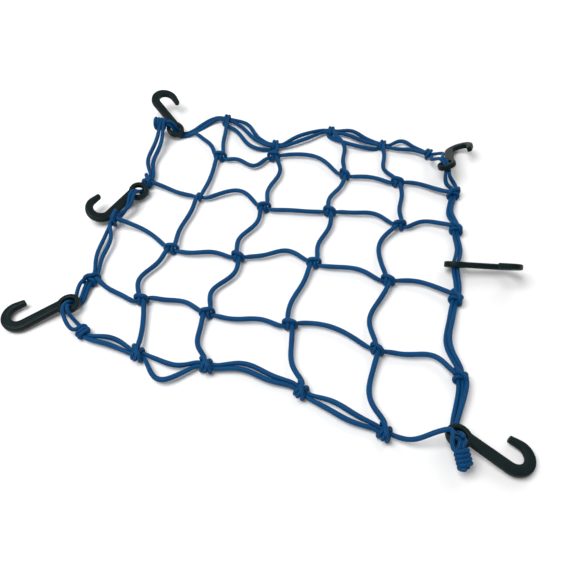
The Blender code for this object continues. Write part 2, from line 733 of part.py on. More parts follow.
def main():
    for item in list(bpy.data.objects):
        bpy.data.objects.remove(item)
    knots = border_knots()
    cords = build_rows(knots)
    cords.update(build_columns(knots))
    cords.update(build_edge(knots))
    for name, cord in cords.items():
        add_object(name, tube_mesh(name, cord.places, cord.radii), cord_material("cord_" + name))
    shape = hook_mesh()
    for name in HOOKS:
        matrix = hook_matrix(name)
        mesh = shape.copy()
        matrix.translation *= MM
        mesh.transform(matrix)
        mesh.name = name
        add_object(name, mesh, hook_material("plastic_" + name))
    centring = Matrix.Translation((-MIDDLE[0] * MM, -MIDDLE[1] * MM, 0.0))
    for item in bpy.data.objects:
        item.data.transform(centring)


main()
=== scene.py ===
"""Looks of the knotted elastic luggage net: braided cords, moulded hooks, floor, light and camera.

Every cord follows the same route as its solid, worked out here from the same tables, with rounder
turns and a braided surface. Sizes are in millimetres until a mesh is made.
"""
import math

import bmesh
import bpy
import numpy as np
from mathutils import Matrix, Vector


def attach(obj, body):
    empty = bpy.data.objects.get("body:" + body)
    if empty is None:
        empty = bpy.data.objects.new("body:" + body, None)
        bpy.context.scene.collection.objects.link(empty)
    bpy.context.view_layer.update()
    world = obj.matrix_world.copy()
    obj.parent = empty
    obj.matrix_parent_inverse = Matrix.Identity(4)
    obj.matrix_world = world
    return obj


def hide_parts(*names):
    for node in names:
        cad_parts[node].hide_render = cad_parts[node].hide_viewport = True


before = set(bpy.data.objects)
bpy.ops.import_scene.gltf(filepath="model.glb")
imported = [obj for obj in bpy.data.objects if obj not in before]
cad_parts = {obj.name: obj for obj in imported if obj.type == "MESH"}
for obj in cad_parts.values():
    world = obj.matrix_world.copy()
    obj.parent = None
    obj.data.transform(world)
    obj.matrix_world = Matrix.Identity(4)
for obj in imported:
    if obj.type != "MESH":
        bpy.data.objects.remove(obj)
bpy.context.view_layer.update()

MM = 0.001

# Camera: the photograph's view, in the net's own plan
IMAGE_SIZE = 565
FOCAL_PIXELS = 620.0
CAMERA_PLACE = (77.6, -369.1, 405.2)
CAMERA_PITCH = 51.0            # degrees below level
CAMERA_YAW = 12.13
SENSOR = 36.0
CLIP = (0.01, 20.0)            # nearest and farthest place in view, in m
MIDDLE = (3.37, -10.72)        # middle of the net's outline, which lies over the origin

# Cord
CELL = 60.0                    # from knot to knot in the square net
CORD_RADIUS = 2.05
STRETCHED_RADIUS = 1.7         # a cord that is pulled a little
RING_RADIUS = 1.45             # the two strands that share the mid right eye
GAP = 0.3                      # between two pieces of the solid model
SWELL = 0.4                    # share by which a tightened cord swells to its relaxed radius
KNOT_SWELL = 0.06              # by which it swells further in a winding
PRESSED = 0.1                  # how far a knot's lowest strand is pressed into the surface
STEP = 3.0                     # length of one straight piece of a free cord
PULL = 0.9                     # how far a short stretch keeps its first direction
LONG_PULL = 0.4                # the same for a long one
SWAY_SCALE = 1.5               # brings a sway's peak to about its stated size
QUICK = 2.2                    # how soon a stretch reaches its slack radius
TOUCHING = 0.01                # nearer than this, a winding starts where the cord is
MID_HEIGHT = 5.0               # of the middle of a long stretch

# Knots
TURN_STEPS = 8                 # steps in which the places on a turn are counted
TURN_PARTS = 3                 # points in one such step
TURN_SPARE = 0.4               # between two turns of a winding
KNOT_GAP = 0.42                # between two strands in a knot
KNOT_HALF = 5.6                # straight piece on each side of a knot's middle
CORNER_HALF = 3.2              # the same at the far right knot
GRID_MIDDLE = 2.5              # row and column of the square net's middle
TAIL = 5.0                     # lengths of the free ends
SHORT_TAIL = 2.5
STUB = 0.3
TAIL_DROP = 1.0                # by which a free end droops
CLUSTER_HEIGHT = 14.6          # of the far left knot's middle
STACK_HEIGHT = 8.0             # of the third left knot's middle
WHIP_HEIGHT = 12.2             # of the near right whipping's middle
WHIP_DIP = 33.0                # degrees by which the whipping points down
WHIP_HALF = 7.5                # straight piece on each side of its middle
WHIP_TURNS = 4.0
WHIP_FIRST = 7                 # step of a turn at which the whipping starts
CLUSTER_BACK = 8.6             # straight piece behind the far left knot's middle
CLUSTER_FRONT = 3.4            # the same ahead of it
UNEVEN_ENDS = 1.0              # from one strand's end to the next one's
UNDERSIDE = 0.8                # height of a pressed strand's middle over the surface, in radii

# Braid
SIDES = 24                     # corners of a cord's section
RING_STEP = 0.55               # between two sections
EASE = 1.15                    # spread by which the corners of a route are eased
PLAITS = 6                     # yarns of each hand round the cord
PLAIT_LENGTH = 2.3             # length of one stitch
YARNS = 3                      # fine yarns in one stitch
RELIEF = 0.085                 # height of a stitch over its edges
RELIEF_MIDDLE = 0.6            # share of that height which lies on the cord's radius
UNEVEN = 0.04                  # slow change of the cord's radius, as a share of it
WAVE_LENGTHS = (61.0, 37.0, 23.0, 11.0)  # of the waves that make up that change
END_ROUND = 1.6                # length of a rounded free end
END_LEAST = 0.04               # square of the least share of the radius there
WEAVE_MAP = "weave"

# Hook
HOOK_THICK = 5.0
EYE_WIDE = 13.4                # from middle to middle of the eye's bar
EYE_LONG = 15.2
EYE_BAR = 3.9                  # widths of the bar: round the eye, and then along the hook
SHANK_WIDE = 8.0
BEND_WIDE = 8.6
ARM_WIDE = 5.9
TIP_WIDE = 4.7
SHANK_START = 5.6              # place along the hook, from the eye's centre
SHANK_SIDE = 3.0               # place of the shank beside the eye's centre
BEND_CENTRE = 37.2             # place along the hook
BEND_RADIUS = 10.2
ARM = 6.0                      # length of the arm without its rounded tip
ARM_LEAN = 7.0                 # degrees by which the arm leans in
TIP_LENGTH = 2.2
TIP_POWER = 2.6                # a higher one makes the tip blunter
TIP_LEAST = 0.03               # square of the least share of the width there
EYE_STEPS = 48
SHANK_STEPS = 8
BEND_STEPS = 28
ARM_STEPS = 12
BAR_SIDES = 32
BAR_SQUARE = 0.45              # 1 gives an oval section, 0 a square one
HOOK_VOXEL = 0.32
HOOK_SMOOTHING = 6
SMOOTHING_SHARE = 0.5          # of the way to its neighbours, for each corner
MOULD_MAP = "mould"
SEAM_PLACE = 0.5               # between the hook's two faces
SEAM_HALF = 0.04               # half the mould's seam, in hook thicknesses
EYE_DIVE = 60.0                # degrees at which strands go through an eye
EYE_SLOPE = 12.0               # degrees at which they pass its rim
EYE_SPACE = 0.6                # between two strands in an eye
EYE_STRAND = 3.1               # height of one layer of them at its rim

# Colours and light
CORD_BRIGHT = (0.002, 0.106, 0.285)
CORD_DEEP = (0.000, 0.045, 0.150)
# painted shade: the colour of the grooves between the stitches
CORD_SHADE_BETWEEN_STITCHES = (0.000, 0.008, 0.036)
HOOK_BRIGHT = (0.004, 0.013, 0.014)
HOOK_DEEP = (0.002, 0.006, 0.007)
# painted highlight: the lighter colour of the hooks' sharp edges
HOOK_EDGE_HIGHLIGHT = (0.014, 0.035, 0.036)
CORD_PATCHES = (45.0, 3.0)     # scale and detail of a noise
CORD_FIBRES = (2600.0, 2.0)
HOOK_PATCHES = (120.0, 4.0)
HOOK_GRAIN = (1800.0, 2.0)
# painted light and shade: a stitch's height sets how far its colour goes from the painted shade to
# the lit colour
STITCH_LIGHT = (0.1, 0.9, 0.0, 1.0)  # from one range to another
# painted highlight: edge sharpness mapped to the share of the lighter edge colour
EDGE_HIGHLIGHT_RANGE = (0.5, 0.62, 0.0, 0.6)
HOOK_ROUGHNESS = (0.3, 0.7, 0.36, 0.52)
SEAM_RISE = (0.0, SEAM_HALF, 1.0, 0.0)
YARN_HEIGHT = 0.22             # in heights of a stitch's bump
FIBRE_HEIGHT = 0.35
SEAM_HEIGHT = 3.0              # in heights of the grain's bump
CORD_BUMP = {"Strength": 0.55, "Distance": 0.00012}
HOOK_BUMP = {"Strength": 0.25, "Distance": 0.00006}
CORD_SURFACE = {"Roughness": 0.5, "Specular IOR Level": 0.1, "Sheen Weight": 0.03,
                "Sheen Roughness": 0.45, "Sheen Tint": (0.35, 0.65, 1.0, 1.0)}
HOOK_SURFACE = {"Specular IOR Level": 0.11}
FLOOR_SURFACE = {"Base Color": (0.84, 0.84, 0.84, 1.0), "Roughness": 0.9, "Specular IOR Level": 0.1}
FLOOR_SIZE = 12.0              # the floor and lights are in metres
FLOOR_CELLS = 8
FLOOR_DROP = 0.0003
WORLD_LIGHT = {"Color": (1.0, 1.0, 1.0, 1.0), "Strength": 0.42}
# Each light's place, size and power.
LIGHTS = {
    "key": ((-0.5, -0.3, 1.3), 0.9, 20.0),
    "back": ((0.5, 1.0, 0.9), 0.8, 5.0),
}

# Each kind of knot: radius of the strands in it, how far the winding is spread sideways and up, in
# strands, extra radius of the winding in mm, and where the strands it holds lie, in strands.
KINDS = {
    "one": (1.3, 0.0, 0.0, 0.0, ((0.0, 0.0),)),
    "pair": (1.35, 0.5, 0.0, 0.0, ((0.5, 0.0), (-0.5, 0.0))),
    "stack": (1.35, 0.0, 0.5, 0.0, ((0.0, 0.5), (0.0, -0.5))),
    "trio": (1.35, 0.0, 0.0, 2.0, ((0.52, -0.32), (-0.52, -0.32), (0.0, 0.64))),
    "whip": (1.25, 0.5, 0.0, 0.0, ((0.5, 0.0), (-0.5, 0.0))),
}
PAIR = KINDS["pair"][-1]
TRIO = KINDS["trio"][-1]
FLAT = ((1.0, 0.0), (-1.0, 0.0), (0.0, 0.0))

CROSSING = 360.0              # degrees from the top at which a hitch crosses over itself
# The first half of a hitch, a row for each place of the cord: degrees from the top round what it
# holds, distance from the middle and place along it, both in strands. The last row is the crossing,
# and the second half is the first one turned round.
HITCH = (
    (-22.5, 1.0, -0.5),
    (22.5, 1.0, -0.5),
    (67.5, 1.0, -0.6),
    (112.5, 1.0, -0.8),
    (157.5, 1.0, -1.0),
    (202.5, 1.0, -1.2),
    (247.5, 1.0, -1.4),
    (292.5, 1.0, -1.5),
    (328.0, 1.2, -1.5),
    (343.0, 1.9, -1.1),
    (CROSSING, 1.95, 0.0),
)

ROWS = (1, 2, 3, 4)
# Knots from the far row to the near row. Each is (slide across, slide away, lie): how far it has
# moved from its place in a square net, in mm, and the way of the strand through it, in degrees.
KNOTS = (
    ((-3.6, -32, 4), (-5, 3, -5), (-6, -28, 3), (-14, 6, 5), (-20, -5, -12), (-33.5, -9.5, -22)),
    ((31, 33, -25), (5, 3, -20), (-3, 14, 30), (10, 2, -8), (1, 2, 15), (-6, -3, -95)),
    ((7.6, 13, -100), (2, 3, 0), (4, 2, -12), (4, 9, 12), (8, 5, -10), (-2, 11, -88)),
    ((-2, 16, -112), (-3, -5, -15), (-4, -2, 12), (1, 5, -16), (5, -1, 10), (1, -8, -100)),
    ((3, 8, -99), (-9, -3, 28), (-13, -5, -10), (-6, -2, 24), (4, -11, -5), (7, -22, -85)),
    ((17, 17, -34), (6, 7, -8), (0, 8, 0), (14, 2, -28), (17, -18, -22), (9.6, -29.8, -62)),
)
# Which way each inner knot's hitch steps, seen along its column towards the near edge.
HANDS = ((-1, 1, 1, 1), (-1, -1, 1, -1), (-1, 1, -1, 1), (1, -1, 1, 1))
RIGHT_HANDS = (-1, 1, 1, 1)   # the same at the right edge
SLIM_KNOT = (2, 1)            # row and column of the knot that is only one turn
# Bow and sway of each free stretch, in mm to the left of the way it is read: rows from left to
# right, columns from far to near.
ROW_BENDS = (
    ((3, -1), (-7, 5.4), (11, -1), (3, 0), (1.4, 0.6)),
    ((-0.8, 0.7), (14.4, -1.3), (0, 0.4), (5, -2), (7, 1)),
    ((6, 0), (2.6, -1.5), (6.2, -3), (6, -1), (4, 0.4)),
    ((-1, -1), (2, -1.6), (2.6, -2), (5, 0), (8.3, -3)),
)
COLUMN_BENDS = (
    ((-1.6, 0.8), (2, 0), (-2, 1.4), (-4.6, 3.2), (0.4, 0)),
    ((2, 1), (1, 4), (0.3, 3.7), (-4, 4.7), (-5, 1.5)),
    ((5.6, 3), (-1, 2), (-2, 2.5), (0.3, 1.5), (-7, 1.2)),
    ((-5, 2.7), (-1, 1.6), (-10.5, -1), (-9.4, 2), (-10, 1.7)),
)
# Bow and sway of each column cord where it hangs between two columns.
HANGING = {(1, 2): (-3.9, 4.6), (3, 4): (-4.2, 0)}
# Free stretches of the doubled edge: bow, sway and middle height of strand a, then of strand b.
EDGE_BENDS = {
    "L1 L2": ((-3.2, 2.2, 7.0), (-6.4, 2.2, 7.0)),
    "A1 A2": ((2.8, 2.6, 5.0), (-1.5, 1.2, 5.0)),
    "A2 A3": ((3.2, 0.5, 5.0), (-1.6, 0.4, 5.0)),
    "A3 A4": ((3.6, 2.2, 5.0), (-0.8, 1.0, 5.0)),
    "A4 R0": ((8.0, 3.2, 5.0), (4.0, -1.5, 5.0)),
    "L3 L4": ((2.8, 2.2, 5.8), (-2.8, 1.0, 4.8)),
    "R0 R1": ((2.6, 0.0, 6.5), (-2.1, 0.0, 6.5)),
    "R1 R2": ((-4.4, 0.7, 6.6), (-3.6, 0.7, 2.9)),
    "R3 R4": ((-6.6, 1.6, 7.0), (-5.8, 1.6, 2.9)),
    "L5 F1": ((4.6, 0.0, 5.0), (1.4, 0.0, 5.0)),
    "F1 F2": ((-5.4, 0.9, 5.0), (-16.0, -2.0, 5.0)),
    "F2 F3": ((4.0, 2.5, 5.0), (1.8, 2.3, 5.0)),
    "F3 F4": ((2.0, 1.2, 5.0), (-2.2, 0.8, 5.0)),
}
STRETCHED = ("L3 L4", "R1 R2", "R3 R4")
# Bows of strands a and b from the far left eye to A1 and from the mid left eye to L3, and bows and
# middle heights from R0 to the far right eye.
A1_BOWS = (1.5, -1.5)
L3_BOWS = (3.8, 1.6)
FAR_RIGHT_BENDS = ((4.6, 13.0), (-5.2, 9.0))
RING_BOW = 2.0                # of both strands from R2 to the mid right eye
# The last row on its way from the near left eye and to the near right one, and the near edge's
# strand on its way to that eye and on to the whipping.
ROW_START = dict(bow=1.0, height=7.5)
ROW_END = dict(slack=1.5, height=7.6)
ROW_END_BACK = -1.0           # where the row ends, ahead of the eye's last station
NEAR_STRAND = dict(bow=-3.6, sway=-1.0)
WHIP_STRAND = dict(bow=-1.2, height=16.0)
# Turns of strand a and of strand b round the far left knot: number, shift along it in mm, and the
# step of a turn at which they start.
CLUSTER_TURNS = ((0.5, 2.8, 4), (2.0, -2.6, 0))
RING_HEADING = -95            # of the strands through the mid right eye, in degrees
# How strands pass an eye: the hook, the plan directions in which they enter and leave, whether they
# rise through it, and half their bundle's thickness on the way in and out, in strands.
EYES = {
    "far left": ("hook_far_left", -5, 5, False, 1.12, 0.9),
    "mid left a": ("hook_mid_left", -150, -113, True, 0.95, 0.95),
    "mid left b": ("hook_mid_left", -125, -113, True, 0.95, 0.95),
    "near left": ("hook_near_left", -118, -74, True, 0.85, 1.06),
    "far right": ("hook_far_right", -55, -88, False, 0.95, 0.95),
    "near right": ("hook_near_right", -88, -86, True, 1.66, 1.6),
    "near right, last strand": ("hook_near_right", -5, -60, False, 0.8, 0.6),
}
# Hooks: place of the eye, heading of the shank, tilt of the bend's end, roll about the shank.
HOOKS = {
    "hook_far_left": ((-140.5, 120.5, 8.2), 142, 16, 184),
    "hook_mid_left": ((-145, 25, 7.6), -109, -2, 162),
    "hook_near_left": ((-153.5, -112, 7.2), 226, -4, 180),
    "hook_far_right": ((134, 111, 17.8), 89, -21.5, 154),
    "hook_mid_right": ((148.5, -6, 9.2), 12, -5, 129),
    "hook_near_right": ((156.5, -163.0, 10.0), -26, -6, -5),
}


def heading(degrees):
    """Level unit vector in a direction given in degrees."""
    angle = math.radians(degrees)
    return Vector((math.cos(angle), math.sin(angle), 0.0))


class Station:
    """A place on a cord's route and the way the cord runs there."""

    def __init__(self, place, way):
        self.place = Vector(place)
        self.way = Vector(way).normalized()
        self.left = Vector((-self.way.y, self.way.x, 0.0)).normalized()
        self.up = self.way.cross(self.left)

    def backward(self):
        """The same place with the cord running the other way."""
        return Station(self.place, -self.way)

    def beside(self, left=0.0, up=0.0, ahead=0.0):
        """The same way at a place moved to the left, up or ahead."""
        place = self.place + self.left * left + self.up * up + self.way * ahead
        return Station(place, self.way)


def finer_rows(rows):
    """A hitch's rows with more of them in between."""
    finer = [rows[0]]
    for first, second in zip(rows, rows[1:]):
        for part in range(1, TURN_PARTS + 1):
            share = part / TURN_PARTS
            finer.append(tuple(a + (b - a) * share for a, b in zip(first, second)))
    return finer


class Knot:
    """The middle of a knot, the strands through it and the winding that closes it."""

    def __init__(self, row, column, kind="one", height=None, dip=0.0):
        across, away, lie = KNOTS[row][column]
        self.tight, self.wide, self.tall, extra, self.slots = KINDS[kind]
        self.strand = 2 * self.tight + KNOT_GAP
        self.radius = self.strand + extra
        if height is None:
            underside = self.tight * UNDERSIDE - PRESSED
            height = self.strand * self.tall + self.strand + extra + underside
        place = ((column - GRID_MIDDLE) * CELL + across, (GRID_MIDDLE - row) * CELL + away, height)
        dip = math.radians(dip)
        self.middle = Station(place, heading(lie) * math.cos(dip) - Vector((0, 0, math.sin(dip))))

    def slot(self, index, ahead=0.0):
        """Where one of the strands through the knot lies."""
        left, up = self.slots[index]
        return self.middle.beside(left * self.strand, up * self.strand, ahead)

    def hitch(self, side, hand=1):
        """Places of a hitch round the knot's strands; on top it runs to the left if side is 1."""
        over = self.middle.left * side
        second = [(2 * CROSSING - turn, distance, -along)
                  for turn, distance, along in reversed(HITCH[:-1])]
        rows = list(HITCH) + second
        places = []
        for turn, distance, along in finer_rows(rows):
            angle = math.radians(turn)
            out, up = math.sin(angle), math.cos(angle)
            spread = math.copysign(self.wide * self.strand, out) if turn != CROSSING else 0.0
            lift = math.copysign(self.tall * self.strand, up)
            radius = self.radius * distance
            if distance > 1.0:
                radius += (self.strand - self.radius) * (distance - 1.0)
            place = self.middle.beside(ahead=hand * along * self.strand).place
            place += over * (spread + radius * out) + self.middle.up * (lift + radius * up)
            places.append(place)
        return places, Station(places[0], over), Station(places[-1], over), self.tight

    def winding(self, side, turns=2.0, hand=1, first=0, shift=0.0):
        """Places of the turns round the knot's strands; on top they run to the left if side is 1.

        first is the step of a turn at which the winding starts: 0 on top, 4 underneath.
        """
        over = self.middle.left * side
        pitch = 2 * self.tight + TURN_SPARE
        steps = round(turns * TURN_STEPS) + 1
        places = []
        for part in range(steps * TURN_PARTS + 1):
            step = part / TURN_PARTS
            angle = 2 * math.pi * (first + step - 0.5) / TURN_STEPS
            out, up = math.sin(angle), math.cos(angle)
            spread = math.copysign(self.wide * self.strand, out)
            lift = math.copysign(self.tall * self.strand, up)
            along = hand * pitch * (step - steps / 2) / TURN_STEPS + shift
            place = self.middle.place + self.middle.way * along
            place += over * (spread + self.radius * out)
            place += self.middle.up * (lift + self.radius * up)
            places.append(place)
        ways = []
        for step in (first, first + steps - 1):
            angle = 2 * math.pi * step / TURN_STEPS
            ways.append(over * math.cos(angle) - self.middle.up * math.sin(angle))
        return places, Station(places[0], ways[0]), Station(places[-1], ways[1]), self.tight


class Cord:
    """A cord's centre line, gathered point by point, with its radius at each point."""

    def __init__(self, station, tight):
        self.places = []
        self.radii = []
        self.end = station
        self.tight = tight
        self.add(station.place, tight)

    def add(self, place, radius):
        """One point more, where a tightened cord swells a little."""
        self.places.append(place.copy())
        self.radii.append(radius + SWELL * max(0.0, CORD_RADIUS - radius))

    def run(self, station, bow=0.0, sway=0.0, height=None, slack=CORD_RADIUS, tight=None,
            quick=QUICK, pull=PULL):
        """A free stretch to the next station, bowed or swayed to the left."""
        start, chord = self.end, station.place - self.end.place
        length = chord.length
        first, last = self.tight, self.tight if tight is None else tight
        steps = max(2, round(length / STEP))
        left = Vector((-chord.y, chord.x, 0.0)).normalized()
        for step in range(1, steps + 1):
            t = step / steps
            swell = math.sin(math.pi * t) ** 2
            place = (start.place * (2 * t**3 - 3 * t**2 + 1)
                     + station.place * (3 * t**2 - 2 * t**3)
                     + start.way * (length * pull * (t**3 - 2 * t**2 + t))
                     + station.way * (length * pull * (t**3 - t**2)))
            place += left * swell * (bow + sway * SWAY_SCALE * math.sin(2 * math.pi * t))
            if height is not None:
                place.z = start.place.z + (station.place.z - start.place.z) * t
                place.z += (height - (start.place.z + station.place.z) / 2) * swell
            taut = first + (last - first) * t
            fullness = min(1.0, quick * math.sin(math.pi * t)) if quick else swell
            self.add(place, taut + (slack - taut) * fullness if slack else taut)
        self.end = station
        self.tight = last

    def through(self, knot, index, **bends):
        """Run to a knot and straight through it."""
        self.run(knot.slot(index, -KNOT_HALF), tight=knot.tight, **bends)
        self.straight(knot.slot(index, KNOT_HALF))

    def straight(self, station):
        """A straight piece to the next station."""
        self.add(station.place, self.tight)
        self.end = station

    def wind(self, winding, **bends):
        """Run to a winding and follow its turns."""
        places, entry, leaving, tight = winding
        if (self.end.place - entry.place).length > TOUCHING:
            self.run(entry, tight=tight, **bends)
        for place in places[1:]:
            self.add(place, tight + KNOT_SWELL)
        self.end = leaving
        self.tight = tight

    def tail(self, length):
        """A short free end that droops."""
        for part in (0.5, 1.0):
            place = self.end.place + self.end.way * length * part
            place.z -= TAIL_DROP * part * part
            self.add(place, self.tight)


def cord_from_tail(winding, length):
    """A cord that starts with a short free end and goes straight into a winding."""
    entry, tight = winding[1], winding[3]
    back = entry.way * length
    cord = Cord(Station(entry.place - back - Vector((0, 0, TAIL_DROP)), entry.way), tight)
    cord.add(entry.place - back / 2 - Vector((0, 0, TAIL_DROP / 4)), tight)
    cord.straight(entry)
    cord.wind(winding)
    return cord


def hook_matrix(name):
    """A hook's place: origin at the eye's centre, X along the shank, Y to the open side."""
    place, turn, tilt, roll = HOOKS[name]
    rotation = (Matrix.Rotation(math.radians(turn), 4, "Z")
                @ Matrix.Rotation(math.radians(-tilt), 4, "Y")
                @ Matrix.Rotation(math.radians(roll), 4, "X"))
    return Matrix.Translation(place) @ rotation


def eye_stations(passage):
    """Where a bundle passes a hook's eye: at one side, in its middle and at the other side."""
    name, enter, leave, rising, layer_in, layer_out = EYES[passage]
    matrix = hook_matrix(name)
    centre = matrix.to_translation()
    normal = matrix.to_3x3() @ Vector((0, 0, 1))
    if normal.z < 0:
        normal = -normal
    sign = 1 if rising else -1
    rim = (EYE_WIDE + EYE_LONG) / 4
    inward, outward = heading(enter), heading(leave)
    inward = (inward - normal * inward.dot(normal)).normalized()
    outward = (outward - normal * outward.dot(normal)).normalized()
    slope, dive = math.radians(EYE_SLOPE), math.radians(EYE_DIVE)
    first, last = (HOOK_THICK / 2 + GAP + EYE_STRAND * layer for layer in (layer_in, layer_out))
    before = Station(centre - inward * rim - normal * sign * first,
                     inward * math.cos(slope) + normal * sign * math.sin(slope))
    middle = Station(centre, (inward + outward).normalized() * math.cos(dive)
                     + normal * sign * math.sin(dive))
    after = Station(centre + outward * rim + normal * sign * last,
                    outward * math.cos(slope) + normal * sign * math.sin(slope))
    return before, middle, after


def border_knots():
    """Knots of the doubled edge by name: A far, F near, L left and R right."""
    knots = {}
    for number in ROWS:
        knots["A%d" % number] = Knot(0, number, "pair")
        knots["F%d" % number] = Knot(5, number, "pair")
        knots["R%d" % number] = Knot(number, 5, "pair")
    knots["L1"] = Knot(0, 0, "trio", height=CLUSTER_HEIGHT)
    knots["L2"] = Knot(2, 0, "pair")
    knots["L3"] = Knot(3, 0, "stack", height=STACK_HEIGHT)
    knots["L4"] = Knot(4, 0, "pair")
    knots["L5"] = Knot(5, 0, "pair")
    knots["R0"] = Knot(0, 5, "pair")
    knots["R5"] = Knot(5, 5, "whip", height=WHIP_HEIGHT, dip=WHIP_DIP)
    return knots


def tie(row, column, side, hand):
    """The column cord's way round the row cord at an inner knot."""
    knot = Knot(row, column, "one")
    if (row, column) == SLIM_KNOT:
        return knot.winding(side, turns=1.0, hand=hand)
    return knot.hitch(side, hand)


def long_bend(bow, sway):
    """Bend of a stretch from one knot of the net to the next."""
    return dict(bow=bow, sway=sway, height=MID_HEIGHT, pull=LONG_PULL)


def column_bend(column, stretch, way=1):
    """Bend of a stretch of a column, with way -1 where the cord runs away from the near edge."""
    bow, sway = COLUMN_BENDS[column - 1][stretch]
    return long_bend(bow * way, sway)


def edge_bend(stretch, index):
    """Bend of strand a or b in a stretch of the doubled edge."""
    bow, sway, height = EDGE_BENDS[stretch][index]
    slack = STRETCHED_RADIUS if stretch in STRETCHED else CORD_RADIUS
    return dict(bow=bow, sway=sway, height=height, quick=0, slack=slack, pull=LONG_PULL)


def build_rows(knots):
    """The four cords across the net, each tied round the edge cord at its ends."""
    cords = {}
    for number in ROWS:
        bends = [long_bend(bow, sway) for bow, sway in ROW_BENDS[number - 1]]
        if number == 1:
            cord = far_left_strand(knots, 1)
            cord.run(Knot(1, 0).middle, slack=STRETCHED_RADIUS)
        elif number == 4:
            cord = start_of_last_row(knots)
        else:
            cord = cord_from_tail(knots["L%d" % number].hitch(1), STUB)
        for column in ROWS:
            cord.through(Knot(number, column, "one"), 0, **bends[column - 1])
        cord.wind(knots["R%d" % number].hitch(1, RIGHT_HANDS[number - 1]), **bends[4])
        if number == 4:
            finish_last_row(cord)
        else:
            cord.tail(SHORT_TAIL)
        cords["row_%d" % number] = cord
    return cords


def pass_eye(cord, passage, tables, index, **first):
    """Take a strand through an eye's stations, in its place in the bundle at each of them."""
    strand = 2 * cord.tight + EYE_SPACE
    for number, (station, table) in enumerate(zip(eye_stations(passage), tables)):
        left, up = table[index]
        bends = first if number == 0 and first else dict(slack=0)
        cord.run(station.beside(left * strand, up * strand), **bends)


def far_left_strand(knots, index):
    """A strand that ends in the far left cluster and comes out through the hook's eye."""
    cluster = knots["L1"]
    cord = Cord(cluster.slot(index, index * UNEVEN_ENDS - CLUSTER_BACK), cluster.tight)
    cord.straight(cluster.slot(index, CLUSTER_FRONT))
    pass_eye(cord, "far left", (TRIO, TRIO, FLAT), index)
    return cord


def start_of_last_row(knots):
    """The row's end lies in the eye of the near left hook."""
    tight = knots["L4"].tight
    strand = 2 * tight + EYE_SPACE
    before, middle = eye_stations("near left")[:2]
    left, up = TRIO[1]
    cord = Cord(middle.beside(left * strand, up * strand).backward(), tight)
    cord.run(before.beside(FLAT[1][0] * strand).backward(), slack=0)
    cord.wind(knots["L4"].hitch(1, -1), slack=0, pull=LONG_PULL, **ROW_START)
    return cord


def finish_last_row(cord):
    """The row's end goes along the edge, through the eye and up to the whipping."""
    cord.tight = KINDS["trio"][0]
    pass_eye(cord, "near right", (TRIO, TRIO), 2, pull=LONG_PULL, **ROW_END)
    left, up = (part * (2 * cord.tight + EYE_SPACE) for part in TRIO[2])
    cord.run(eye_stations("near right")[2].beside(left, up, ROW_END_BACK), slack=0)


def build_columns(knots):
    """Two cords, each of which makes two columns and hangs between their far ends."""
    cords = {}
    for (first, second), (bow, sway) in HANGING.items():
        cord = cord_from_tail(knots["F%d" % first].hitch(1, -1), TAIL)
        for row in reversed(ROWS):
            hand = -HANDS[row - 1][first - 1]
            cord.wind(tie(row, first, 1, hand), **column_bend(first, row, -1))
        cord.wind(knots["A%d" % first].winding(1, turns=1.5, hand=-1), **column_bend(first, 0, -1))
        cord.wind(knots["A%d" % second].winding(-1, turns=1.5, first=4), **long_bend(bow, sway))
        for row in ROWS:
            hand = HANDS[row - 1][second - 1]
            cord.wind(tie(row, second, -1, hand), **column_bend(second, row - 1))
        cord.wind(knots["F%d" % second].hitch(-1), **column_bend(second, 4))
        cord.tail(TAIL)
        cords["columns_%d_%d" % (first, second)] = cord
    return cords


def build_edge(knots):
    """The doubled cord round the net, in two strands on each side."""
    cords = {}
    for index, letter in enumerate("ab"):
        cords["edge_far_" + letter] = far_edge(knots, index)
        cords["edge_left_" + letter] = left_edge(knots, index)
        cords["edge_right_" + letter] = right_edge(knots, index)
        cords["edge_near_" + letter] = near_edge(knots, index)
    return cords


def end_in_corner(cord, corner, index, turns=2.0, **bends):
    """Strand a ends inside the corner knot and strand b ties it."""
    if index == 0:
        cord.run(corner.slot(0, -KNOT_HALF), tight=corner.tight, **bends)
        cord.straight(corner.slot(0, -GAP))
    else:
        cord.wind(corner.winding(1, turns), **bends)
        cord.tail(SHORT_TAIL)


def start_in_corner(corner, index, half):
    """Strand a starts inside the corner knot and strand b goes through it."""
    cord = Cord(corner.slot(index, (GAP, -half)[index]), corner.tight)
    cord.straight(corner.slot(index, half))
    return cord


def far_edge(knots, index):
    """From the far left cluster through its eye to the far right corner."""
    cord = far_left_strand(knots, (0, 2)[index])
    cord.through(knots["A1"], index, bow=A1_BOWS[index], quick=0)
    for before, after in (("A1", "A2"), ("A2", "A3"), ("A3", "A4")):
        cord.through(knots[after], index, **edge_bend(before + " " + after, index))
    end_in_corner(cord, knots["R0"], index, turns=1.0, **edge_bend("A4 R0", index))
    return cord


def left_edge(knots, index):
    """From the far left cluster through two eyes to the near left corner."""
    turns, shift, first = CLUSTER_TURNS[index]
    winding = knots["L1"].winding(-1, turns=turns, shift=shift, first=first)
    cord = cord_from_tail(winding, SHORT_TAIL)
    cord.through(knots["L2"], index, **edge_bend("L1 L2", index))
    pass_eye(cord, ("mid left a", "mid left b")[index], (PAIR, PAIR, PAIR), index)
    cord.through(knots["L3"], index, bow=L3_BOWS[index], slack=0)
    cord.through(knots["L4"], index, **edge_bend("L3 L4", index))
    pass_eye(cord, "near left", (FLAT, TRIO), (0, 2)[index])
    left = PAIR[index][0] * (2 * cord.tight + EYE_SPACE)
    cord.run(eye_stations("near left")[2].beside(left), slack=0)
    end_in_corner(cord, knots["L5"], index, slack=0)
    return cord


